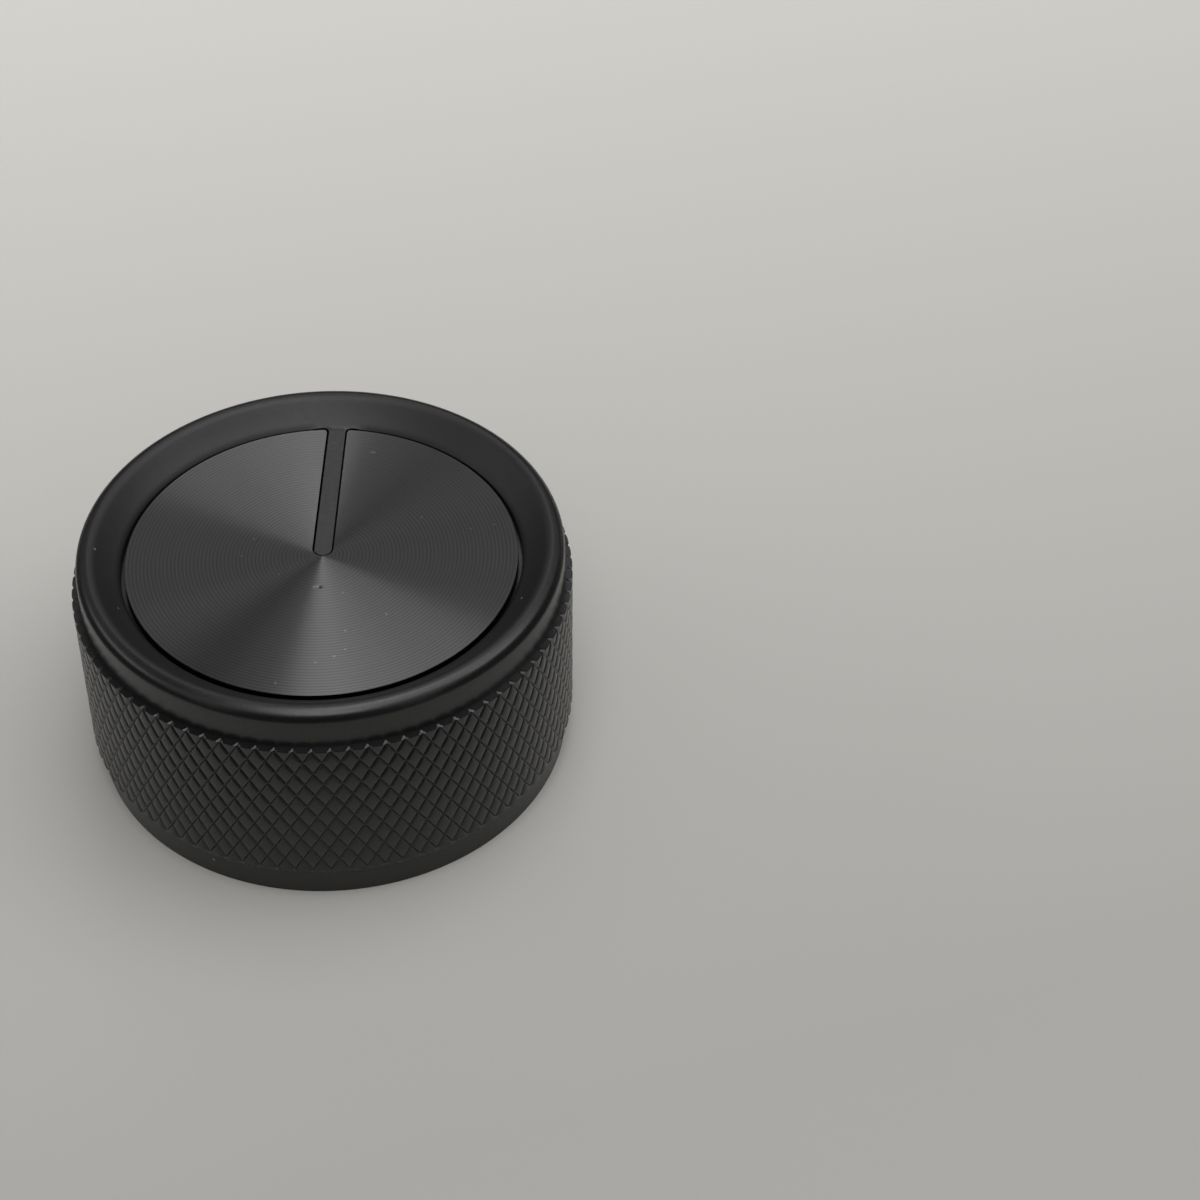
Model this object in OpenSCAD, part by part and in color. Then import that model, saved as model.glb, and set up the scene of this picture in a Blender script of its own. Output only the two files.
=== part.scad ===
// Stove knob: a turned metal body with a diamond-knurled grip, an inlaid face
// disc cut out for the pointer, and a moulded hub that slides onto a D-shaped stem.
// The knob rests on its rear rim, its axis is Z, and the pointer lies along +Y.

/* [Body] */
// height from the rear rim to the crest of the front edge
body_h = 25; // [22:0.1:34]
// diameter of the plain collars behind and before the grip
collar_d = 48.5; // [46:0.1:60]
// height of the plain collar at the rear
rear_collar_h = 2.8; // [1.5:0.1:6]
// height of the plain collar at the front, up to the crest
front_collar_h = 4.2; // [3:0.05:6]
// radius of the rounded outer edge at the front
edge_r = 1.2; // [0.5:0.05:1.4]
// chamfer on both edges of the rear rim
rear_chamfer = 0.1; // [0.1:0.05:0.8]

/* [Grip] */
// height of the grip's crests above the collars
grip_rise = 0.75; // [0.65:0.05:1.5]
// number of diamonds around the grip
grip_teeth = 88; // [60:2:96]
// length of one diamond along the axis
diamond_l = 3.03; // [2.6:0.01:5]
// width of a groove across its top
groove_w = 0.3; // [0.2:0.02:0.6]
// depth of a groove
groove_depth = 0.2; // [0.1:0.02:0.45]
// length of the bevel at the rear end of the grip
rear_bevel_l = 1.2; // [0.3:0.05:2]
// length of the bevel at the front end of the grip
front_bevel_l = 0.1; // [0.1:0.05:1.5]
// height of the step between a bevel's foot and the collar
bevel_step = 0.08; // [0.04:0.01:0.15]

/* [Face] */
// depth of the dished face below the crest
dish_depth = 2.15; // [1.2:0.05:3]
// width of the dished rim, from the collar's wall to the disc's gap
rim_w = 4.25; // [3:0.01:8]
// thickness of the inlaid disc
disc_t = 1.2; // [0.8:0.1:2]
// height of the disc's face above the foot of the dish
disc_proud = 0.1; // [0:0.01:0.5]
// gap between the disc and the body around it
disc_gap = 0.42; // [0.1:0.02:0.6]
// gap between the disc and the pointer rib
slot_gap = 0.22; // [0.1:0.02:0.4]
// width of the pointer rib
pointer_w = 1.7; // [1.2:0.1:4]
// distance from the axis to the tip of the pointer rib
pointer_tip = 0.2; // [0:0.1:8]
// corner radius of the disc beside the root of the pointer
corner_r = 0.45; // [0.2:0.05:1]

/* [Rear cavity] */
// thickness of the wall around the rear cavity
wall_t = 5.25; // [3:0.05:8]
// thickness of the metal between the cavity and the disc's pocket
floor_t = 3.8; // [2:0.1:6]

/* [Hub] */
// diameter of the stem that the hub fits
stem_d = 8; // [6:0.5:9]
// depth of the flat on the stem
flat_cut = 1.5; // [0.5:0.1:2]
// gap between the stem and the socket
stem_fit = 0.05; // [0.02:0.01:0.2]
// chamfer at the mouth of the socket
lead_in = 0.6; // [0.2:0.1:1]
// thickness of the boss around the socket
boss_wall = 3; // [2.2:0.1:4.5]
// distance from the rear rim to the end of the boss
boss_inset = 1.5; // [0.5:0.1:4]
// thickness of the hub's front plate
plate_t = 2.2; // [1.5:0.1:3]
// thickness of a rib
rib_t = 1.8; // [1.2:0.1:3]
// number of ribs between the boss and the cavity wall
rib_count = 4; // [3:1:6]
// free length of the split boss behind the ribs
split_l = 6; // [4.5:0.1:8]
// width of the splits in the boss
split_w = 1.2; // [0.8:0.1:2]
// gap between the hub and the cavity wall
hub_fit = 0.1; // [0.05:0.01:0.3]

/* [Spring clip] */
// width of the spring band
clip_w = 3; // [2:0.1:4]
// thickness of the spring band
clip_t = 0.6; // [0.4:0.05:1]
// opening between the ends of the spring band
clip_opening = 3; // [2:0.1:5]
// depth of the groove that the band sits in
clip_seat = 0.4; // [0.2:0.05:0.8]
// gap between the band and its groove
clip_fit = 0.05; // [0.02:0.01:0.2]

/* [Hidden] */
$fn = 96;

// overshoot of a cutting shape beyond the face that it opens
cut = 1;

collar_r = collar_d / 2;
crest_r = collar_r + grip_rise;
root_r = crest_r - groove_depth;
foot_r = collar_r + bevel_step;

// ends of the grip with its bevels, and of the full diamonds between them
grip_z0 = rear_collar_h;
grip_z1 = body_h - front_collar_h;
knurl_z0 = grip_z0 + rear_bevel_l;
knurl_z1 = grip_z1 - front_bevel_l;
knurl_l = knurl_z1 - knurl_z0;

// the diamonds lie in rows half a diamond apart
rows = max(2, round(2 * knurl_l / diamond_l));
row_l = knurl_l / rows;
tooth_angle = 360 / grip_teeth;
half_tooth = PI * crest_r / grip_teeth;
// distance from a diamond's centre to its sides before the grooves are cut
diamond_inradius = half_tooth * row_l / norm([half_tooth, row_l]);
// size of the flat top of a diamond as a share of the whole diamond
land = 1 - groove_w / 2 / diamond_inradius;

// the dish runs from the foot at the disc's gap up to the rounded edge
dish_z = body_h - dish_depth;
pocket_r = collar_r - rim_w;
disc_r = pocket_r - disc_gap;
pocket_z = dish_z + disc_proud - disc_t;
edge_x = collar_r - edge_r;
edge_z = body_h - edge_r;
foot_to_edge = [edge_x - pocket_r, edge_z - dish_z];
dish_angle = atan2(foot_to_edge[1], foot_to_edge[0]) + asin(edge_r / norm(foot_to_edge));
dish_top = [edge_x - edge_r * sin(dish_angle), edge_z + edge_r * cos(dish_angle)];

// the pointer's rib ends in a half round
tip_centre = pointer_tip + pointer_w / 2;

cavity_r = collar_r - wall_t;
cavity_depth = pocket_z - floor_t;
hub_r = cavity_r - hub_fit;
plate_z = cavity_depth - plate_t;
socket_r = stem_d / 2 + stem_fit;
socket_flat_y = socket_r - flat_cut;
boss_r = socket_r + boss_wall;
rib_z = boss_inset + split_l;

// the band sits halfway along the free end of the boss
clip_seat_r = boss_r - clip_seat;
clip_z = boss_inset + (split_l - clip_w) / 2;

function odd(k) = k % 2;

// a point on a circle of radius r about the axis
function ring_point(r, angle, z) = [r * cos(angle), r * sin(angle), z];

// vertex numbers: groove crossings, then the left, right, upper and lower
// corners of the diamonds' flat tops, then the feet of the two bevels
function crossing(k, i) = k * grip_teeth + i % grip_teeth;
function left_of(k, i) = crossing(rows + 1 + k, i);
function right_of(k, i) = crossing(2 * (rows + 1) + k, i);
function top_of(k, i) = crossing(3 * (rows + 1) + k, i);
function bottom_of(k, i) = crossing(3 * (rows + 1) + rows + k - 1, i);
function foot_below(end, j) = (5 * rows + 3 + 2 * end) * grip_teeth + j % (2 * grip_teeth);

// angle of the middle of diamond i in row k
function middle(k, i) = (i + (1 + odd(k)) / 2) * tooth_angle;

// the four walls of grooves beside a diamond's flat top, two triangles each
function upper_walls(k, i) = let(
        w = crossing(k, i), e = crossing(k, i + 1), n = crossing(k + 1, i + odd(k)),
        l = left_of(k, i), r = right_of(k, i), t = top_of(k, i))
    [[w, n, t], [w, t, l], [n, e, t], [e, r, t]];

function lower_walls(k, i) = let(
        w = crossing(k, i), e = crossing(k, i + 1), s = crossing(k - 1, i + odd(k)),
        l = left_of(k, i), r = right_of(k, i), b = bottom_of(k, i))
    [[e, s, b], [e, b, r], [s, w, b], [w, l, b]];

function flat_top(k, i) =
    k == 0 ? [[left_of(k, i), top_of(k, i), right_of(k, i)]]
    : k == rows ? [[left_of(k, i), right_of(k, i), bottom_of(k, i)]]
    : [[left_of(k, i), top_of(k, i), bottom_of(k, i)],
       [top_of(k, i), right_of(k, i), bottom_of(k, i)]];

function rear_bevel(i) = let(
        w = crossing(0, i), e = crossing(0, i + 1), l = left_of(0, i), r = right_of(0, i),
        a = foot_below(0, 2 * i), m = foot_below(0, 2 * i + 1), b = foot_below(0, 2 * i + 2))
    [[w, l, m], [w, m, a], [l, r, m], [r, e, m], [e, b, m]];

function front_bevel(i) = let(
        w = crossing(rows, i), e = crossing(rows, i + 1),
        l = left_of(rows, i), r = right_of(rows, i),
        a = foot_below(1, 2 * i), m = foot_below(1, 2 * i + 1), b = foot_below(1, 2 * i + 2))
    [[w, a, m], [w, m, l], [l, m, r], [r, m, e], [m, b, e]];

// the grip as a solid: two crossing sets of helical grooves leave flat-topped
// diamonds, and a bevel runs each end down to the collar
module knurled_grip() {
    last = grip_teeth - 1;
    half_flat = land * tooth_angle / 2;
    reach = land * row_l;
    points = concat(
        [for (k = [0 : rows], i = [0 : last])
            ring_point(root_r, middle(k, i) - tooth_angle / 2, knurl_z0 + k * row_l)],
        [for (k = [0 : rows], i = [0 : last])
            ring_point(crest_r, middle(k, i) - half_flat, knurl_z0 + k * row_l)],
        [for (k = [0 : rows], i = [0 : last])
            ring_point(crest_r, middle(k, i) + half_flat, knurl_z0 + k * row_l)],
        [for (k = [0 : rows - 1], i = [0 : last])
            ring_point(crest_r, middle(k, i), knurl_z0 + k * row_l + reach)],
        [for (k = [1 : rows], i = [0 : last])
            ring_point(crest_r, middle(k, i), knurl_z0 + k * row_l - reach)],
        [for (j = [0 : 2 * grip_teeth - 1])
            ring_point(foot_r, j * tooth_angle / 2, grip_z0)],
        [for (j = [0 : 2 * grip_teeth - 1])
            ring_point(foot_r, (j + odd(rows)) * tooth_angle / 2, grip_z1)]
    );
    faces = concat(
        [for (k = [0 : rows], i = [0 : last]) each flat_top(k, i)],
        [for (k = [0 : rows - 1], i = [0 : last]) each upper_walls(k, i)],
        [for (k = [1 : rows], i = [0 : last]) each lower_walls(k, i)],
        [for (i = [0 : last]) each rear_bevel(i)],
        [for (i = [0 : last]) each front_bevel(i)],
        [[for (j = [0 : 2 * grip_teeth - 1]) foot_below(0, j)]],
        [[for (j = [2 * grip_teeth - 1 : -1 : 0]) foot_below(1, j)]]
    );
    polyhedron(points = points, faces = faces);
}

// half section of the turned body: collars, rounded edge and dish
module body_section() {
    polygon([
        [0, 0],
        [collar_r - rear_chamfer, 0],
        [collar_r, rear_chamfer],
        [collar_r, edge_z],
        [edge_x, edge_z],
        dish_top,
        [pocket_r, dish_z],
        [0, dish_z]
    ]);
    translate([edge_x, edge_z])
        circle(r = edge_r);
}

// outline of the inlay, grown by a gap at its rim and at its slot: a disc with a slot for
// the pointer, a half round at the slot's inner end and round corners at its mouth
module inlay_outline(rim_grow, slot_grow) {
    outer = disc_r + rim_grow;
    slot = pointer_w / 2 + slot_gap - slot_grow;
    round_r = corner_r + slot_grow;
    corner_x = slot + round_r;
    corner_y = sqrt(pow(outer - round_r, 2) - pow(corner_x, 2));
    difference() {
        circle(r = outer, $fn = 2 * $fn);
        translate([-slot, tip_centre])
            square([2 * slot, outer]);
        translate([0, tip_centre])
            circle(r = slot);
        for (side = [0, 1])
            mirror([side, 0])
                difference() {
                    polygon([
                        [0, corner_y],
                        [0, outer + cut],
                        [corner_x, corner_y] * (outer + cut) / (outer - round_r),
                        [corner_x, corner_y]
                    ]);
                    translate([corner_x, corner_y])
                        circle(r = round_r);
                }
    }
}

// turned body with its knurled grip, the pocket around the pointer rib and the cavity
module knob_body() {
    color([0.10, 0.10, 0.11])
        difference() {
            union() {
                rotate_extrude()
                    body_section();
                knurled_grip();
            }
            translate([0, 0, pocket_z])
                linear_extrude(height = dish_z - pocket_z + cut)
                    inlay_outline(disc_gap, slot_gap);
            translate([0, 0, -cut])
                cylinder(h = cavity_depth + cut, r = cavity_r);
            translate([0, 0, -cut])
                cylinder(h = cut + rear_chamfer, r1 = cavity_r + rear_chamfer + cut, r2 = cavity_r);
        }
}

// inlaid disc that lies on the floor of the pocket
module face_disc() {
    color([0.22, 0.22, 0.23])
        translate([0, 0, pocket_z])
            linear_extrude(height = disc_t)
                inlay_outline(0, 0);
}

// socket for the stem: a round bore with one flat side and a chamfered mouth
module stem_socket() {
    intersection() {
        translate([0, 0, boss_inset - cut])
            cylinder(h = plate_z - boss_inset + cut, r = socket_r);
        translate([-socket_r, -socket_r, boss_inset - cut])
            cube([2 * socket_r, socket_r + socket_flat_y, plate_z - boss_inset + cut]);
    }
    translate([0, 0, boss_inset - cut])
        cylinder(h = cut + lead_in, r1 = socket_r + lead_in + cut, r2 = socket_r);
}

// moulded hub: a plate on the cavity's floor, a boss for the stem and ribs to the wall
module hub_insert() {
    color([0.16, 0.16, 0.16])
        difference() {
            union() {
                translate([0, 0, plate_z])
                    cylinder(h = plate_t, r = hub_r);
                translate([0, 0, boss_inset])
                    cylinder(h = plate_z - boss_inset, r = boss_r);
                intersection() {
                    translate([0, 0, rib_z])
                        cylinder(h = plate_z - rib_z, r = hub_r);
                    for (i = [0 : rib_count - 1])
                        rotate((i + 0.5) * 360 / rib_count)
                            translate([0, -rib_t / 2, rib_z])
                                cube([hub_r, rib_t, plate_z - rib_z]);
                }
            }
            stem_socket();
            translate([-boss_r - cut, -split_w / 2, boss_inset - cut])
                cube([2 * boss_r + 2 * cut, split_w, split_l + cut]);
            translate([0, 0, clip_z - clip_fit])
                difference() {
                    cylinder(h = clip_w + 2 * clip_fit, r = boss_r + cut);
                    translate([0, 0, -cut])
                        cylinder(h = clip_w + 2 * clip_fit + 2 * cut, r = clip_seat_r);
                }
        }
}

// spring band around the split boss, open on one side
module spring_clip() {
    inner_r = clip_seat_r + clip_fit;
    color([0.70, 0.71, 0.73])
        translate([0, 0, clip_z])
            linear_extrude(height = clip_w)
                difference() {
                    circle(r = inner_r + clip_t);
                    circle(r = inner_r);
                    translate([-clip_opening / 2, 0])
                        square([clip_opening, inner_r + clip_t + cut]);
                }
}

knob_body();
face_disc();
hub_insert();
spring_clip();
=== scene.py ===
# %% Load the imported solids
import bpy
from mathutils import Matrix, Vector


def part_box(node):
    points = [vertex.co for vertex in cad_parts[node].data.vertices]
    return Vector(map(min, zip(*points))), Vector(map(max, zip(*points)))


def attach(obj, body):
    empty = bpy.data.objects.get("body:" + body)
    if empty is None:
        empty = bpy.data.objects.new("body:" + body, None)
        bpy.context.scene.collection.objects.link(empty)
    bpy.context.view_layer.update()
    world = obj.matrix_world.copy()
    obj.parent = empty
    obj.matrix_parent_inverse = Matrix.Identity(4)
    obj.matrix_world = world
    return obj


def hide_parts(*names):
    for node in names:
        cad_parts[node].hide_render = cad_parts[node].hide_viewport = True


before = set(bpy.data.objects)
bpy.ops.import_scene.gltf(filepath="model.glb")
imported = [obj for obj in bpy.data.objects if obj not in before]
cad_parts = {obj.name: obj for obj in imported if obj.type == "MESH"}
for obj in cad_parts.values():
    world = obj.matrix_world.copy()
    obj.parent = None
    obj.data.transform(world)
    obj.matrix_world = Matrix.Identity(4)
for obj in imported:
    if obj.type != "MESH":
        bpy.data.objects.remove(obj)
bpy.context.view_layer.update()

import math

import bpy
import numpy as np

print("solids in the frame:", sorted(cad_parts))

# %% [markdown]
# A stove knob stands face up on a pale table. It is a turned metal body with a diamond-knurled
# grip, a slotted disc let into its face, and, out of sight in the rear cavity, a moulded hub
# with a spring band. The solids of the frame give the sizes and the places. Here the two pieces
# that show get finer surfaces, worked out as whole arrays, and every piece gets its finish.

# %% Sizes of the turned body, in millimetres
MM = 0.001
COLLAR_R = 24.25
CREST_R = 25.0
FOOT_R = 24.33
REAR_COLLAR = 2.8
KNURL_LOW, KNURL_TOP = 4.0, 20.7
FRONT_COLLAR = 20.8
EDGE_R, EDGE_X, EDGE_Z = 1.2, 23.05, 23.8
CHAMFER = 0.1
CAVITY_R, CAVITY_TOP = 19.0, 17.95
DISH_Z = 22.85
POCKET_R, POCKET_Z = 20.0, 21.75
solid_low, solid_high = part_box("knob_body")
print("solid body is %.2f mm across and %.2f mm tall"
      % ((solid_high.x - solid_low.x) / MM, (solid_high.z - solid_low.z) / MM))

# %% [markdown]
# A surface here is a grid of points. Neighbouring points make four-cornered faces, and grids
# that share a border are welded there, so the piece ends up as one closed skin. Welding by
# rounded place is simpler than keeping count of every border, and exact enough at these sizes.

# %% Grids, faces and welding
WELD = 1e-5
CRISP_DEG = 28


def ring_faces(rows, columns, closed=True):
    """Faces of a grid: corner (r, c), then the next column, then the next row, and back.
    A closed grid joins its last column to its first."""
    last = columns if closed else columns - 1
    r, c = np.mgrid[0:rows - 1, 0:last]
    r, c = r.ravel(), c.ravel()
    nxt = (c + 1) % columns
    return np.stack([r * columns + c, r * columns + nxt,
                     (r + 1) * columns + nxt, (r + 1) * columns + c], axis=1)


def weld(parts):
    """Puts (points, list of face arrays) parts together; points that round to the same place
    become one, and a face keeps only corners that differ from the one before."""
    points = np.concatenate([p for p, _ in parts])
    starts = np.cumsum([0] + [len(p) for p, _ in parts[:-1]])
    _, keep, where = np.unique(np.round(points / WELD).astype(np.int64), axis=0,
                               return_index=True, return_inverse=True)
    where = where.ravel()
    faces = []
    for (_, groups), start in zip(parts, starts):
        for group in groups:
            corners = where[np.asarray(group) + start]
            whole = (corners != np.roll(corners, 1, axis=1)).all(axis=1)
            faces += corners[whole].tolist()
            faces += [list(dict.fromkeys(f)) for f in corners[~whole].tolist()]
    return points[keep], [f for f in faces if len(set(f)) > 2]


def put_mesh(name, points, faces):
    """Makes the object: millimetres become metres, faces are smooth, and an edge that turns
    more than CRISP_DEG stays crisp."""
    mesh = bpy.data.meshes.new(name)
    mesh.from_pydata((points * MM).tolist(), [], faces)
    mesh.update()
    mesh.shade_smooth()
    mesh.set_sharp_from_angle(angle=math.radians(CRISP_DEG))
    piece = bpy.data.objects.new(name, mesh)
    bpy.context.scene.collection.objects.link(piece)
    triangles = sum(len(f) - 2 for f in faces)
    print(name, "has", len(points), "points and", triangles, "triangles")
    return piece


# %% [markdown]
# The grip is a diamond knurl: two families of shallow grooves that climb the cylinder left and
# right, cut or pressed by a pair of rollers. It could be a bump in the material, but the grooves
# show at the outline and catch the light, so they are real. The grid runs along the grooves
# instead of along the axis: u counts grooves of one family and v of the other, so every groove
# lies on grid lines and stays crisp with few points. PLACES says where the grid lines lie within
# one pitch, and DEPTHS how much of the groove's depth is taken off there.

# %% The knurled grip
TEETH = 88
ROWS = 11
GROOVE_DEPTH = 0.2
PLACES = np.array([0, 0.055, 0.12, 0.2, 0.5, 0.8, 0.88, 0.945])
DEPTHS = np.array([1, 0.62, 0.27, 0.07, 0, 0.07, 0.27, 0.62])
STEPS = len(PLACES)
COLUMNS = TEETH * STEPS
TOOTH = 2 * math.pi / TEETH
ROW_L = (KNURL_TOP - KNURL_LOW) / ROWS


def around(r, turn, z):
    """Points at radius r, angle turn and height z."""
    r, turn, z = np.broadcast_arrays(r, turn, z)
    return np.stack([r * np.cos(turn), r * np.sin(turn), z], axis=-1)


def knurl():
    """u and v count the grooves of the two families. Their mean gives the angle, their
    difference the height, and the deeper of the two groove profiles is taken off the crest."""
    d, b = np.mgrid[0:ROWS * STEPS + 1, 0:COLUMNS]
    a = b + d
    u = a // STEPS + PLACES[a % STEPS]
    v = b // STEPS + PLACES[b % STEPS]
    deep = np.maximum(DEPTHS[a % STEPS], DEPTHS[b % STEPS])
    points = around(CREST_R - GROOVE_DEPTH * deep, (u + v) / 2 * TOOTH,
                    KNURL_LOW + (u - v) * ROW_L)
    number = d * COLUMNS + b
    right = np.roll(number, -1, axis=1)
    inner = slice(1, ROWS * STEPS)
    quads = np.stack([number[inner], right[:-2], right[inner], number[2:]], axis=-1)
    low = np.stack([number[0], right[0], number[1]], axis=-1)
    top = np.stack([number[-1], right[-2], right[-1]], axis=-1)
    return points, [quads.reshape(-1, 4), low, top]


grip, grip_faces = knurl()
print("grooves repeat every %.2f mm round and %.2f mm up" % (CREST_R * TOOTH, ROW_L * 2))

# %% [markdown]
# Below and above the grip the body is plain turning: a profile carried round the axis. The
# columns of the turning are those of the grip's own border, so the two meet point to point.
# At the rear the grip runs out in a bevel. At the front it ends in a flat ledge, where the
# rollers pushed up a small burr at the end of each groove.

# %% Rear rim, cavity, rear collar and the ends of the grip
SKIRT_ROWS = 4
CAVITY_MIDS = 12, 6
RIM_MID, REAR_COLLAR_MID = 21.5, 1.4
BURR_GAIN = 1.8
LEDGE_IN, LEDGE_UP = np.array([[0, 0.03, 0.5, 1], [0, 0.7, 0.85, 1]])[:, :, None]
BURR_IN, BURR_UP = np.array([[0, 0.6, 0.75, 1], [0, 1.35, 1, 1]])[:, :, None]


def turned(profile, turns):
    """A profile of (radius, height) rows carried round the axis at the given angles."""
    profile = np.asarray(profile, float)
    return around(profile[:, :1], np.asarray(turns)[None, :], profile[:, 1:])


def skirt(border, foot_r, foot_z):
    """Straight rows from the rear border of the grip to a level ring below it."""
    r = np.hypot(border[:, 0], border[:, 1])
    turns = np.arctan2(border[:, 1], border[:, 0])
    share = np.linspace(0, 1, SKIRT_ROWS)[:, None]
    return around(r + (foot_r - r) * share, turns,
                  border[:, 2] + (foot_z - border[:, 2]) * share)


def ledge(border, foot_r, foot_z):
    """The flat shoulder from the front border of the grip in to the collar. Radius and height
    each follow a share from border to foot. At the end of a groove the shares make a small burr."""
    r = np.hypot(border[:, 0], border[:, 1])
    turns = np.arctan2(border[:, 1], border[:, 0])
    groove = np.minimum(BURR_GAIN * (CREST_R - r) / GROOVE_DEPTH, 1)
    inward = LEDGE_IN + (BURR_IN - LEDGE_IN) * groove
    upward = LEDGE_UP + (BURR_UP - LEDGE_UP) * groove
    return around(r + (foot_r - r) * inward, turns,
                  border[:, 2] + (foot_z - border[:, 2]) * upward)


low_turns = np.arctan2(grip[0, :, 1], grip[0, :, 0])
top_turns = np.arctan2(grip[-1, :, 1], grip[-1, :, 0])
cavity_rows = [(CAVITY_R, z) for z in (CAVITY_TOP, *CAVITY_MIDS, CHAMFER)]
rim_rows = [(r, 0) for r in (CAVITY_R + CHAMFER, RIM_MID, COLLAR_R - CHAMFER)]
collar_rows = [(COLLAR_R, z) for z in (CHAMFER, REAR_COLLAR_MID, REAR_COLLAR)]
rear = turned(cavity_rows + rim_rows + collar_rows + [(FOOT_R, REAR_COLLAR)], low_turns)
rear_bevel = skirt(grip[0], FOOT_R, REAR_COLLAR)[::-1]
front_ledge = ledge(grip[-1], FOOT_R, FRONT_COLLAR)
cavity_floor = np.arange(COLUMNS)[None, ::-1]
print("rear rim is %.2f mm wide" % (COLLAR_R - CAVITY_R - 2 * CHAMFER))

# %% [markdown]
# The front edge is rounded over into a hollow dish that slopes down to the disc. The dish's foot
# is a broken edge: it falls a little towards the pocket, all round except at the pointer. The
# pointer is a rib of the same metal that runs in from the dish to the middle, and its root flows
# into the slope with a small fillet. The two columns nearest the root's corners are moved on to
# them, so the rib's outline and the dish share the same points.

# %% Front collar, rounded edge and dish
FOOT_SLOPE = math.radians(35)
FRONT_COLLAR_MID = 22.5
EDGE_STEPS = 18
SLOPE_SHARES = np.array([0.75, 0.55, 0.38, 0.26, 0.2, 0.15, 0.1, 0.06, 0.03, 0])
RIB_HALF = 0.85
TIP_Y = 1.05
ROOT_R = 0.67
ROOT_X = RIB_HALF + ROOT_R
ROOT_Y = math.sqrt((POCKET_R - ROOT_R) ** 2 - ROOT_X ** 2)
ROOT_TURN = math.atan2(ROOT_Y, ROOT_X)
FILLET, FILLET_FADE = 0.55, 0.45
LIP, LIP_DROP, FADE_L = 0.5, 0.16, 1.5


def dish_arc():
    """Middle, radius and upper slope of a hollow arc that leaves the dish's foot at FOOT_SLOPE
    and meets the rounded edge without a corner: the two middles lie both radii apart."""
    foot = np.array([POCKET_R, DISH_Z])
    lean = np.array([-math.sin(FOOT_SLOPE), math.cos(FOOT_SLOPE)])
    reach = np.array([EDGE_X, EDGE_Z]) - foot
    radius = (reach @ reach - EDGE_R ** 2) / (2 * (EDGE_R + lean @ reach))
    middle = foot + radius * lean
    return middle, radius, math.atan2(EDGE_X - middle[0], middle[1] - EDGE_Z)


dish_middle, dish_radius, top_slope = dish_arc()
bend = np.linspace(0, math.pi / 2 + top_slope, EDGE_STEPS)
edge = np.stack([EDGE_X + EDGE_R * np.cos(bend), EDGE_Z + EDGE_R * np.sin(bend)], axis=1)
lie = FOOT_SLOPE + SLOPE_SHARES * (top_slope - FOOT_SLOPE)
slope = dish_middle + dish_radius * np.stack([np.sin(lie), -np.cos(lie)], axis=1)
front_rows = [(FOOT_R, FRONT_COLLAR), (COLLAR_R, FRONT_COLLAR), (COLLAR_R, FRONT_COLLAR_MID)]
front = turned(np.concatenate([front_rows, edge, slope]), top_turns)


def nearest_column(turn):
    """The column of the turning whose angle is closest to the given one."""
    gap = np.angle(np.exp(1j * (top_turns - turn)))
    return int(np.argmin(np.abs(gap)))


def broken_edge(points):
    """Drop at the dish's foot: a parabola over LIP out from the pocket's wall. It fades in round
    the axis over FADE_L, starting at the pointer's corners."""
    d = np.clip(np.hypot(points[..., 0], points[..., 1]) - POCKET_R, 0, LIP)
    from_pointer = np.abs(np.arctan2(points[..., 0], points[..., 1]))
    share = np.clip((from_pointer - math.pi / 2 + ROOT_TURN) * POCKET_R / FADE_L, 0, 1)
    return LIP_DROP * (1 - d / LIP) ** 2 * share * share * (3 - 2 * share)


front[..., 2] -= broken_edge(front)
root_right, root_left = nearest_column(ROOT_TURN), nearest_column(math.pi - ROOT_TURN)
front[-1, root_right, :2] = POCKET_R * np.array([math.cos(ROOT_TURN), math.sin(ROOT_TURN)])
front[-1, root_left, :2] = front[-1, root_right, :2] * [-1, 1]
mouth_end = root_left if root_left > root_right else root_left + COLUMNS
mouth = np.arange(root_right, mouth_end + 1) % COLUMNS


def root_fillet(points, across):
    """Height that the fillet adds: a parabola from level to the slope over FILLET either side
    of the pocket's circle, faded out towards the rib's two corners."""
    d = np.hypot(points[..., 0], points[..., 1]) - POCKET_R
    rise = math.tan(FOOT_SLOPE)
    curve = rise * (np.clip(d, -FILLET, FILLET) + FILLET) ** 2 / (4 * FILLET)
    lift = np.where(np.abs(d) < FILLET, curve - rise * np.maximum(d, 0), 0)
    fade = np.clip((1 - np.abs(across)) / FILLET_FADE, 0, 1)
    return lift * fade * fade * (3 - 2 * fade)


mouth_across = front[-1, mouth, 0] / front[-1, root_right, 0]
front[:, mouth, 2] += root_fillet(front[:, mouth], mouth_across[None, :])
print("pointer root spans", len(mouth), "columns; dish steepens to %.1f degrees"
      % math.degrees(top_slope))

# %% [markdown]
# The rib's top is a strip between two mirrored sides: a half-round tip, straight flanks and two
# small corner curves that open into the dish. Rows run along the rib and columns across it. The
# pocket around it has an upright wall and a flat floor under the disc.

# %% Pointer rib and disc pocket
TIP_STEPS, FLANK_STEPS, ROOT_STEPS = 10, 14, 9


def rib_side():
    """Right side from the tip to the dish: a quarter circle, a straight line, a corner curve."""
    tip = np.linspace(-math.pi / 2, 0, TIP_STEPS)
    flank = np.linspace(TIP_Y, ROOT_Y, FLANK_STEPS)[1:-1]
    root = np.linspace(math.pi, ROOT_TURN, ROOT_STEPS)
    x = np.concatenate([RIB_HALF * np.cos(tip), np.full(len(flank), RIB_HALF),
                        ROOT_X + ROOT_R * np.cos(root)])
    y = np.concatenate([TIP_Y + RIB_HALF * np.sin(tip), flank, ROOT_Y + ROOT_R * np.sin(root)])
    return np.stack([x, y], axis=1)


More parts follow.
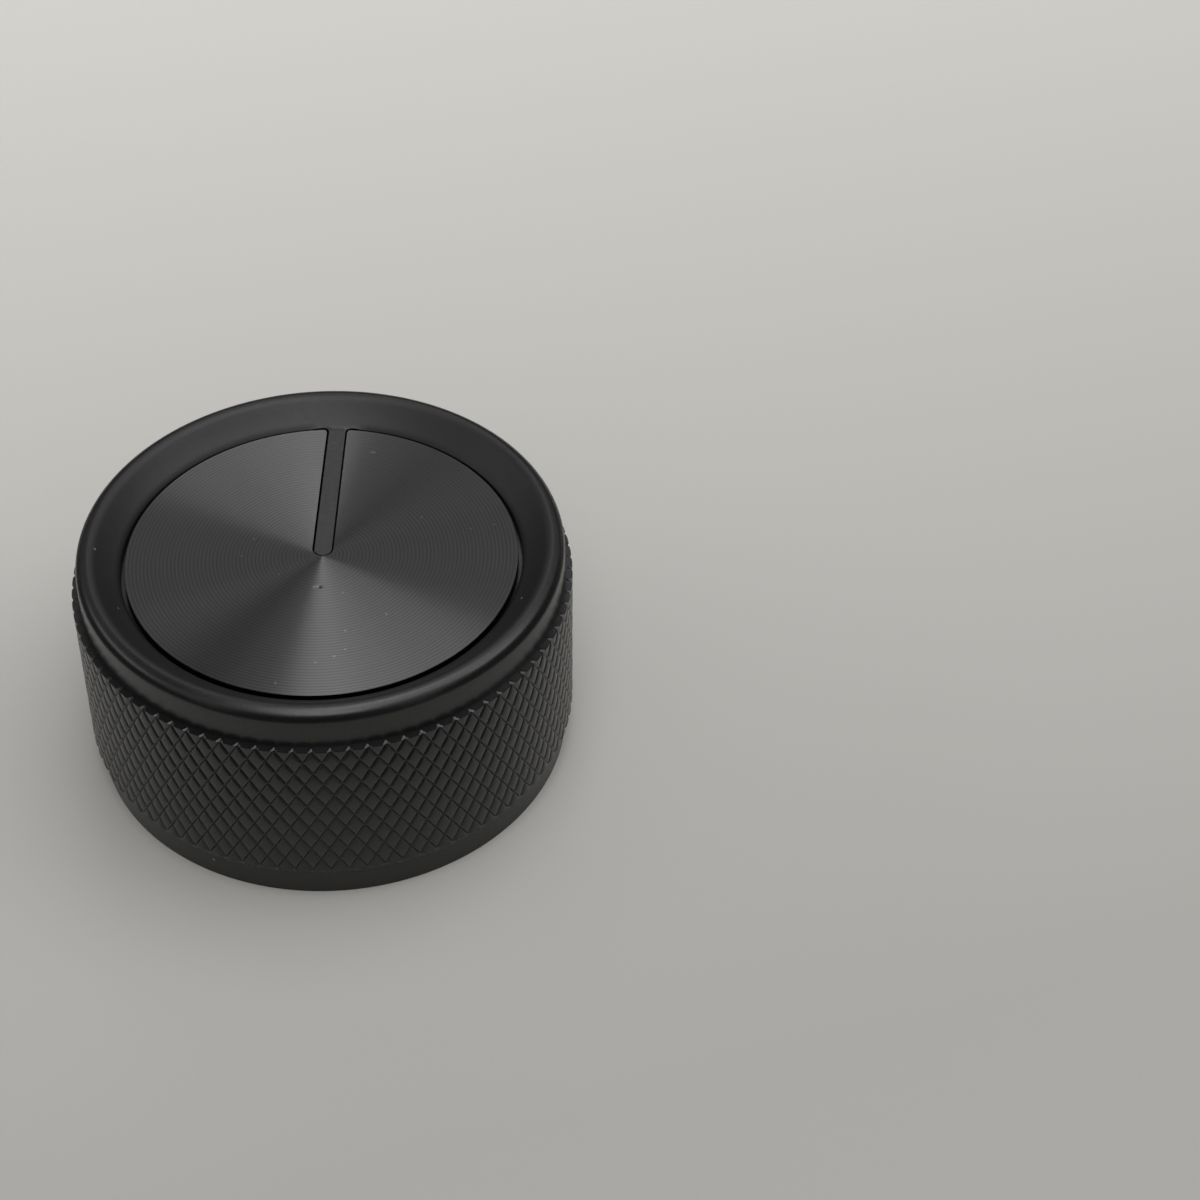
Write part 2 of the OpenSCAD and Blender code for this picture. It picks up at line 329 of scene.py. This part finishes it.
side = rib_side()
side[0, 0] = 0
rows_across = side[:, :1] * mouth_across[None, :]
root_share = np.clip((side[:, 1:] - ROOT_Y) / (side[-1, 1] - ROOT_Y), 0, 1)
bulge = np.sqrt(POCKET_R ** 2 - rows_across ** 2) - side[-1, 1]
rib = np.stack(np.broadcast_arrays(rows_across, side[:, 1:] + bulge * root_share, DISH_Z), axis=-1)
rib[..., 2] += root_fillet(rib, mouth_across[None, :])
rib[-1] = front[-1, mouth]
rib[:, 0, :2], rib[:, -1, :2] = side, side * [-1, 1]
rib[-1, 0], rib[-1, -1] = front[-1, root_right], front[-1, root_left]

rest = np.arange(root_left, root_left + COLUMNS - len(mouth) + 2) % COLUMNS
wall_top = np.concatenate([front[-1, rest], rib[-2:0:-1, 0], rib[:, -1][:-1]])
wall_low = wall_top * [1, 1, 0] + [0, 0, POCKET_Z]
wall = np.stack([wall_low, wall_top])
print("pocket outline has", len(wall_top), "points")

# %% The body as one closed skin
body_points, body_faces = weld([
    (rear.reshape(-1, 3), [ring_faces(len(rear), COLUMNS), cavity_floor]),
    (rear_bevel.reshape(-1, 3), [ring_faces(SKIRT_ROWS, COLUMNS)]),
    (grip.reshape(-1, 3), grip_faces),
    (front_ledge.reshape(-1, 3), [ring_faces(SKIRT_ROWS, COLUMNS)]),
    (front.reshape(-1, 3), [ring_faces(len(front), COLUMNS)]),
    (rib.reshape(-1, 3), [ring_faces(len(rib), len(mouth), closed=False)[:, ::-1]]),
    (wall.reshape(-1, 3), [ring_faces(2, len(wall_top))]),
    (wall_low, [np.arange(len(wall_low))[None, :]]),
])
turned_body = put_mesh("turned_body", body_points, body_faces)
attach(turned_body, "root")
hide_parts("knob_body")

# %% [markdown]
# The disc in the face is a thin turned plate with fine concentric tool marks and a slot for the
# pointer. A plain disc with a hole cut out of it would need a boolean. Here the grid itself
# opens around the slot: at each radius the angle runs from one side of the slot all the way
# round to the other, so the slot's outline is simply the grid's first and last column.

# %% The slotted disc
DISC_R, DISC_TOP, DISC_LOW = 19.58, 22.95, 21.75
SLOT_HALF = 1.07
CORNER_R = 0.45
CORNER_D = DISC_R - CORNER_R
CORNER_X = SLOT_HALF + CORNER_R
CORNER_TURN = math.asin(CORNER_X / CORNER_D)
MARK_PITCH, MARK_DEPTH = 0.38, 0.009
MARK_STEPS = 4
DISC_COLUMNS = 400
TIP_ROWS = [0.03, 0.05, 0.09, 0.15, 0.22, 0.3]
BREAK = 0.05
NICK_Y, NICK_WIDE, NICK_DEEP, NICK_DEPTH = -4.6, 0.3, 0.13, 0.08


def slot_angle(r):
    """Half angle of the slot at radius r, from the pointer's line: where the tip's circle, then
    the straight flank, then the rounded corner crosses that radius."""
    tip = np.arccos(np.clip((r ** 2 + TIP_Y ** 2 - SLOT_HALF ** 2) / (2 * r * TIP_Y), -1, 1))
    flank = np.arcsin(np.clip(SLOT_HALF / r, 0, 1))
    lean = (r ** 2 + CORNER_D ** 2 - CORNER_R ** 2) / (2 * r * CORNER_D)
    corner = CORNER_TURN - np.arccos(np.clip(lean, -1, 1))
    angle = np.where(r < math.hypot(SLOT_HALF, TIP_Y), tip, flank)
    starts = math.hypot(SLOT_HALF, math.sqrt(CORNER_D ** 2 - CORNER_X ** 2))
    return np.where(r > starts, corner, angle)


def disc_sheet(r, height):
    """Rows of constant radius; columns share out the angle left over by the slot."""
    share = np.linspace(0, 1, DISC_COLUMNS)[None, :]
    half = slot_angle(r)[:, None]
    turn = math.pi / 2 + half + share * (2 * math.pi - 2 * half)
    return around(r[:, None], turn, height[:, None])


mark_r = np.arange(MARK_PITCH, DISC_R - BREAK, MARK_PITCH / MARK_STEPS)
tip_r = np.array([SLOT_HALF - TIP_Y, *TIP_ROWS])
end_r = np.array([DISC_R - BREAK, DISC_R])
disc_r = np.concatenate([tip_r, mark_r[mark_r < DISC_R - 2 * BREAK], end_r])
marks = DISC_TOP - MARK_DEPTH * (0.5 - 0.5 * np.cos(2 * math.pi * disc_r / MARK_PITCH))
marks[-2:] = DISC_TOP, DISC_TOP - BREAK
face = disc_sheet(disc_r, marks)
nick = np.exp(-(face[..., 0] / NICK_WIDE) ** 2 - ((face[..., 1] - NICK_Y) / NICK_DEEP) ** 2)
face[..., 2] -= NICK_DEPTH * nick
outline = np.concatenate([face[1:, 0], face[-1, 1:-1], face[::-1, -1]])
outline_low = outline * [1, 1, 0] + [0, 0, DISC_LOW]
disc_points, disc_faces = weld([
    (face.reshape(-1, 3), [ring_faces(len(face), DISC_COLUMNS, closed=False)[:, ::-1]]),
    (np.concatenate([outline, outline_low]), [ring_faces(2, len(outline))[:, ::-1]]),
    (outline_low, [np.arange(len(outline_low))[None, ::-1]]),
])
spun_disc = put_mesh("spun_disc", disc_points, disc_faces)
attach(spun_disc, "root")
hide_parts("face_disc")

# %% [markdown]
# Turned metal shines in fans because its marks run round the middle: light spreads across the
# marks and stays sharp along them. The shader needs to know the direction, and a UV map gives
# it, with u along the radius and v round the disc.

# %% Direction of the turning marks
place = np.zeros(len(spun_disc.data.loops), np.int32)
spun_disc.data.loops.foreach_get("vertex_index", place)
corner = disc_points[place]
uv = np.stack([np.hypot(corner[:, 0], corner[:, 1]) / DISC_R,
               np.arctan2(corner[:, 0], -corner[:, 1]) / (2 * math.pi) + 0.5], axis=1)
spun_disc.data.uv_layers.new(name="turning").data.foreach_set("uv", uv.ravel().astype(np.float32))
print("turning map spans", uv.min(0).round(2), uv.max(0).round(2))

# %% [markdown]
# The finishes are made of nodes on Object coordinates, which are metres here, so a noise scale
# of 1000 has features about a millimetre across. A helper keeps each finish short.

# %% Helper for finishes
BARE_CELLS = 0.7


class Finish:
    """A material with its main shader, and short ways to add and join nodes."""

    def __init__(self, name, **constants):
        self.material = bpy.data.materials.new(name)
        self.material.use_nodes = True
        self.nodes = self.material.node_tree.nodes
        self.links = self.material.node_tree.links
        self.shader = self.nodes["Principled BSDF"]
        self.where = self.nodes.new("ShaderNodeTexCoord").outputs["Object"]
        for socket, value in constants.items():
            self.shader.inputs[socket.replace("_", " ")].default_value = value

    def add(self, kind, inputs=(), **settings):
        node = self.nodes.new("ShaderNode" + kind)
        for key, value in settings.items():
            setattr(node, key, value)
        for key, value in dict(inputs).items():
            if hasattr(value, "is_linked"):
                self.links.new(value, node.inputs[key])
            else:
                node.inputs[key].default_value = value
        return node

    def noise(self, scale, detail=2.0, where=None):
        return self.add("TexNoise", {"Vector": where or self.where, "Scale": scale,
                                     "Detail": detail}).outputs["Fac"]

    def spread(self, value, low, high, out_low, out_high):
        return self.add("MapRange", {"Value": value, "From Min": low, "From Max": high,
                                     "To Min": out_low, "To Max": out_high}).outputs["Result"]

    def blend(self, share, first, second):
        node = self.add("Mix", data_type="RGBA")
        sockets = node.inputs[0], node.inputs[6], node.inputs[7]
        for socket, value in zip(sockets, (share, first, second)):
            if hasattr(value, "is_linked"):
                self.links.new(value, socket)
            else:
                socket.default_value = value
        return node.outputs[2]

    def maths(self, operation, *values):
        return self.add("Math", dict(enumerate(values)), operation=operation).outputs[0]

    def specks(self, scale, size, seed):
        """Dust: a small dot in about three of ten random cells, sized by the cell's own colour."""
        moved = self.add("Mapping", {"Vector": self.where,
                                     "Location": (seed, seed * 0.7, 0)}).outputs[0]
        cell = self.add("TexVoronoi", {"Vector": moved, "Scale": scale})
        chance = self.add("SeparateColor", {"Color": cell.outputs["Color"]}).outputs[0]
        radius = self.spread(chance, BARE_CELLS, 1.0, 0.0, size)
        return self.maths("LESS_THAN", cell.outputs["Distance"], radius)

    def fleck(self, x, y, wide, deep):
        """One grain of dust at a known place: 1 inside an ellipse, 0 outside."""
        local = self.add("Mapping", {"Vector": self.where, "Location": (-x / wide, -y / deep, 0),
                                     "Scale": (1 / wide, 1 / deep, 0)}).outputs[0]
        away = self.add("VectorMath", {0: local}, operation="LENGTH").outputs["Value"]
        return self.maths("LESS_THAN", away, 1.0)

    def join(self, value, socket):
        self.links.new(value, self.shader.inputs[socket])

    def bump(self, height, strength, distance):
        node = self.add("Bump", {"Height": height, "Strength": strength, "Distance": distance})
        self.join(node.outputs["Normal"], "Normal")

    def dress(self, piece):
        piece.data.materials.clear()
        piece.data.materials.append(self.material)
        print(piece.name, "wears", self.material.name, "with", len(self.nodes), "nodes")


def grey(level, warm=0.0):
    return (level * (1 + warm / 3), level, level * (1 - warm), 1)


# %% [markdown]
# The body is blasted and anodised black. The layer is a dark, glassy skin over metal, so it is
# dark in colour with a clear satin gloss, a faint cloudiness, a very fine blasted grain and a
# little dust. The dish is more matt than the rest, from the rounded edge in to the pocket.

# %% Black anodised metal
EDGE_BLUR, POCKET_BLUR, MATT_GAIN = 0.15, 0.2, 0.2
satin = Finish("satin_black_metal", Metallic=0.0, IOR=1.55)
cloud = satin.noise(420, 3)
grain = satin.noise(16000, 2)
tone = satin.blend(cloud, grey(0.004), grey(0.008))
dust = satin.specks(330, 0.07, 0.31)
satin.join(satin.blend(dust, tone, grey(0.11, 0.03)), "Base Color")
flat = satin.add("VectorMath", {0: satin.where, 1: (1, 1, 0)}, operation="MULTIPLY").outputs[0]
from_axis = satin.add("VectorMath", {0: flat}, operation="LENGTH").outputs["Value"]
inside_edge = satin.spread(from_axis, (EDGE_X - EDGE_BLUR) * MM,
                           (EDGE_X + EDGE_BLUR) * MM, 1, 0)
off_pointer = satin.spread(from_axis, (POCKET_R - POCKET_BLUR) * MM,
                           (POCKET_R + POCKET_BLUR) * MM, 0, MATT_GAIN)
matt_dish = satin.maths("MULTIPLY", inside_edge, off_pointer)
fine_gloss = satin.spread(satin.noise(2600, 3), 0.3, 0.7, 0.27, 0.33)
satin.join(satin.maths("ADD", fine_gloss, matt_dish), "Roughness")
satin.bump(grain, 0.12, 0.00001)
satin.dress(turned_body)

# %% [markdown]
# The disc is darker metal left as it came from the lathe. Its gloss is drawn out across the
# tool marks, so it shows light and dark fans that meet in the middle. Each mark reflects a
# slightly different amount, and specks of dust lie on it: fine ones by chance, larger ones at the
# places in FLECKS, which gives x, y, width and depth of each in millimetres.

# %% Turned dark metal
FLECKS = [(3.98, 15.94, 0.3, 0.16), (9.58, 5.91, 0.13, 0.13), (14.63, 4.29, 0.17, 0.12),
          (16.95, 4.9, 0.15, 0.11), (-8.02, -0.18, 0.16, 0.13), (-4.06, -2.81, 0.1, 0.1),
          (2.5, -5.36, 0.11, 0.1), (6.96, -8.33, 0.11, 0.14), (3.29, -13.3, 0.14, 0.12),
          (2.32, -14.25, 0.14, 0.14), (0.6, -15.14, 0.17, 0.11), (-2.96, -17.96, 0.13, 0.17)]
lathe = Finish("turned_dark_metal", Metallic=1.0, Anisotropic=1.0)
map_of_marks = lathe.add("UVMap", uv_map="turning").outputs[0]
along_radius = lathe.add("SeparateXYZ", {"Vector": map_of_marks}).outputs[0]
radius_line = lathe.add("CombineXYZ", {"X": along_radius}).outputs[0]
fine_marks = lathe.noise(190, 2, radius_line)
turns_of_tool = lathe.maths("MULTIPLY", along_radius, 2 * math.pi * DISC_R / MARK_PITCH)
mark_wave = lathe.spread(lathe.maths("COSINE", turns_of_tool), -1, 1, 0, 0.45)
mark_tone = lathe.maths("ADD", mark_wave, lathe.spread(fine_marks, 0.3, 0.7, 0, 0.55))
tone = lathe.blend(mark_tone, grey(0.074), grey(0.136))
dust = lathe.maths("MAXIMUM", lathe.specks(300, 0.055, 0.17), lathe.specks(900, 0.06, 0.53))
for x, y, wide, deep in FLECKS:
    dust = lathe.maths("MAXIMUM", dust, lathe.fleck(x * MM, y * MM, wide * MM, deep * MM))
lathe.join(lathe.blend(dust, tone, grey(0.22, 0.02)), "Base Color")
fine_gloss = lathe.spread(fine_marks, 0.3, 0.7, 0.33, 0.39)
lathe.join(lathe.maths("ADD", fine_gloss, lathe.spread(dust, 0, 1, 0, 0.3)), "Roughness")
lathe.join(lathe.add("Tangent", direction_type="UV_MAP", uv_map="turning").outputs[0], "Tangent")
lathe.bump(fine_marks, 0.2, 0.00001)
lathe.dress(spun_disc)

# %% [markdown]
# The hub is moulded in black glass-filled plastic: matt, faintly mottled, with a fine spark
# grain left by the mould. The band round its boss is spring steel, bright with rolling lines.

# %% Moulded plastic and spring steel
moulded = Finish("moulded_black_plastic", Metallic=0.0, IOR=1.5)
moulded.join(moulded.blend(moulded.noise(900, 4), grey(0.012), grey(0.022)), "Base Color")
moulded.join(moulded.spread(moulded.noise(2200, 3), 0.3, 0.7, 0.46, 0.62), "Roughness")
moulded.bump(moulded.noise(7000, 3), 0.35, 0.00003)
moulded.dress(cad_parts["hub_insert"])

steel = Finish("spring_steel", Metallic=1.0, Anisotropic=0.4)
rolled = steel.add("Mapping", {"Vector": steel.where, "Scale": (1, 1, 12)}).outputs[0]
lines = steel.noise(900, 3, rolled)
steel.join(steel.blend(lines, grey(0.36, 0.01), grey(0.5, 0.01)), "Base Color")
steel.join(steel.spread(lines, 0.3, 0.7, 0.26, 0.4), "Roughness")
steel.bump(lines, 0.15, 0.00002)
steel.dress(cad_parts["spring_clip"])

# %% [markdown]
# The stage is a pale table top in a plain grey room, under six soft lamps: over the middle, to
# the front, to the back, to the left and two to the right. Black metal shows mostly what it
# mirrors, so dark sheets lie and stand around the knob, and only reflections see them. They draw
# the dark line under the rounded edge and the dark fans on the disc.

# %% Table
# The table's colour is painted light and shade: darker at the front and lighter towards the back
# along FALL_LINE, a painted light falloff.
FLOOR_SIZE, FLOOR_GRID = 8.0, 9
FALL_LINE, FALL_NEAR, FALL_FAR = (-0.35, 1, 0), -0.06, 0.16
NEAR_SHADED_TONE, FAR_LIT_TONE, TABLE_WARM = 0.395, 0.685, 0.05


def table_top():
    """A flat square sheet at the height of the rear rim."""
    ticks = np.linspace(-FLOOR_SIZE / 2, FLOOR_SIZE / 2, FLOOR_GRID)
    x, y = np.meshgrid(ticks, ticks, indexing="ij")
    points = np.stack([x, y, np.zeros_like(x)], axis=-1).reshape(-1, 3) / MM
    faces = ring_faces(FLOOR_GRID, FLOOR_GRID, closed=False)[:, ::-1]
    return put_mesh("table_top", points, faces.tolist())


table = table_top()
paper = Finish("pale_table", Metallic=0.0, Roughness=0.8, Specular_IOR_Level=0.0)
# Painted light: the base colour blends from the painted shaded tone at the front to the painted lit
# tone at the back.
depth = paper.add("VectorMath", {0: paper.where, 1: FALL_LINE}, operation="DOT_PRODUCT")
away = paper.spread(depth.outputs["Value"], FALL_NEAR, FALL_FAR, 0, 1)
painted_falloff_tone = paper.blend(away, grey(NEAR_SHADED_TONE, TABLE_WARM), grey(FAR_LIT_TONE, TABLE_WARM))
paper.join(painted_falloff_tone, "Base Color")
paper.bump(paper.noise(1500, 4), 0.1, 0.00005)
paper.dress(table)

# %% Dark sheets that only reflections see
SHEET_GRID = 5
CLOTH_Z = 0.0004
CLOTHS = {"front_cloth": (-0.066, 0.066, -0.4, -0.062), "left_cloth": (-0.5, -0.066, -0.4, 0.2),
          "right_cloth": (0.066, 0.5, -0.4, 0.2)}
CURTAINS = {"left_curtain": ((-0.6, -0.6), (-0.6, 0.6), 0.23),
            "right_curtain": ((0.6, -0.6), (0.6, 0.6), 0.4),
            "front_curtain": ((-0.3, -0.4), (0.3, -0.4), 0.38),
            "back_board": ((1.2, 1.4), (-1.2, 1.4), 0.6)}
LEFT_BOARD = [(-0.09, 0.5, 0.5), (-0.07, 0.5, 0.5), (-0.24, -0.12, 0.5), (-0.5, -0.05, 0.5)]
felt = Finish("dark_felt", Metallic=0.0, Roughness=0.9)
felt.join(felt.blend(felt.noise(900, 4), grey(0.012), grey(0.02)), "Base Color")


def dark_sheet(name, corners):
    """A sheet between four corners in metres: each point is their mean, weighted by two shares."""
    ticks = np.linspace(0, 1, SHEET_GRID)
    s, t = ticks[:, None, None], ticks[None, :, None]
    a, b, c, d = np.array(corners) / MM
    points = (a * (1 - s) + b * s) * (1 - t) + (d * (1 - s) + c * s) * t
    faces = ring_faces(SHEET_GRID, SHEET_GRID, closed=False)
    sheet = put_mesh(name, points.reshape(-1, 3), faces.tolist())
    sheet.visible_camera = sheet.visible_diffuse = sheet.visible_shadow = False
    felt.dress(sheet)


for name, (x0, x1, y0, y1) in CLOTHS.items():
    dark_sheet(name, [(x0, y0, CLOTH_Z), (x1, y0, CLOTH_Z), (x1, y1, CLOTH_Z), (x0, y1, CLOTH_Z)])
for name, (start, end, top) in CURTAINS.items():
    dark_sheet(name, [(*start, 0), (*end, 0), (*end, top), (*start, top)])
dark_sheet("left_board", LEFT_BOARD)

# %% Lights
def softbox(name, place, width, depth, radiance, turn=0):
    """A rectangular lamp that looks straight down, turned about the upright by some degrees.
    Its power is radiance x pi x area."""
    lamp = bpy.data.lights.new(name, "AREA")
    lamp.shape = "RECTANGLE"
    lamp.size, lamp.size_y = width, depth
    lamp.energy = radiance * math.pi * width * depth
    holder = bpy.data.objects.new(name, lamp)
    holder.location = place
    holder.rotation_euler.z = math.radians(turn)
    bpy.context.scene.collection.objects.link(holder)
    print(name, "gives %.2f W" % lamp.energy)


softbox("middle_light", (-0.02, 0.02, 0.88), 0.26, 0.86, 2.7, -12)
softbox("right_light", (0.34, 0.08, 0.88), 0.46, 0.9, 1.3)
softbox("front_light", (0.03, -0.66, 0.88), 0.44, 0.62, 2.7)
softbox("left_light", (-0.9, 0.1, 0.45), 0.5, 0.6, 1.4)
softbox("low_right_light", (0.88, 0.1, 0.88), 0.5, 0.6, 2.0)
softbox("back_light", (-0.1, 1.0, 0.88), 0.26, 0.7, 1.1)

# %% Room around the table
BRIGHT_SIDE = (0.45, -0.6, 0.66)
DIM_WALL, BRIGHT_WALL = 0.12, 0.5


def grey_room():
    """A plain grey room. Its level follows the cosine of the angle to the bright side."""
    room = bpy.data.worlds.new("grey_room")
    room.use_nodes = True
    nodes, links = room.node_tree.nodes, room.node_tree.links
    facing = nodes.new("ShaderNodeVectorMath")
    facing.operation = "DOT_PRODUCT"
    facing.inputs[1].default_value = BRIGHT_SIDE
    links.new(nodes.new("ShaderNodeTexCoord").outputs["Generated"], facing.inputs[0])
    level = nodes.new("ShaderNodeMapRange")
    limits = {"From Min": -1, "From Max": 1, "To Min": DIM_WALL, "To Max": BRIGHT_WALL}
    for socket, value in limits.items():
        level.inputs[socket].default_value = value
    links.new(facing.outputs["Value"], level.inputs["Value"])
    links.new(level.outputs[0], nodes["Background"].inputs["Color"])
    return room


bpy.context.scene.world = grey_room()

# %% Camera
CAMERA_PLACE = (0.0279021, -0.1998757, 0.2065092)
CAMERA_TURN = (46.5607, -0.4265, 0.4433)
LENS_MM, SENSOR_MM = 81.6126, 36.0
lens = bpy.data.cameras.new("photo_camera")
lens.lens, lens.sensor_width = LENS_MM, SENSOR_MM
lens.clip_start = 0.01
camera = bpy.data.objects.new("photo_camera", lens)
camera.location = CAMERA_PLACE
camera.rotation_euler = [math.radians(a) for a in CAMERA_TURN]
bpy.context.scene.collection.objects.link(camera)
bpy.context.scene.camera = camera
bpy.context.scene.view_settings.view_transform = "Standard"
print("camera stands %.3f m from the middle" % np.linalg.norm(CAMERA_PLACE))
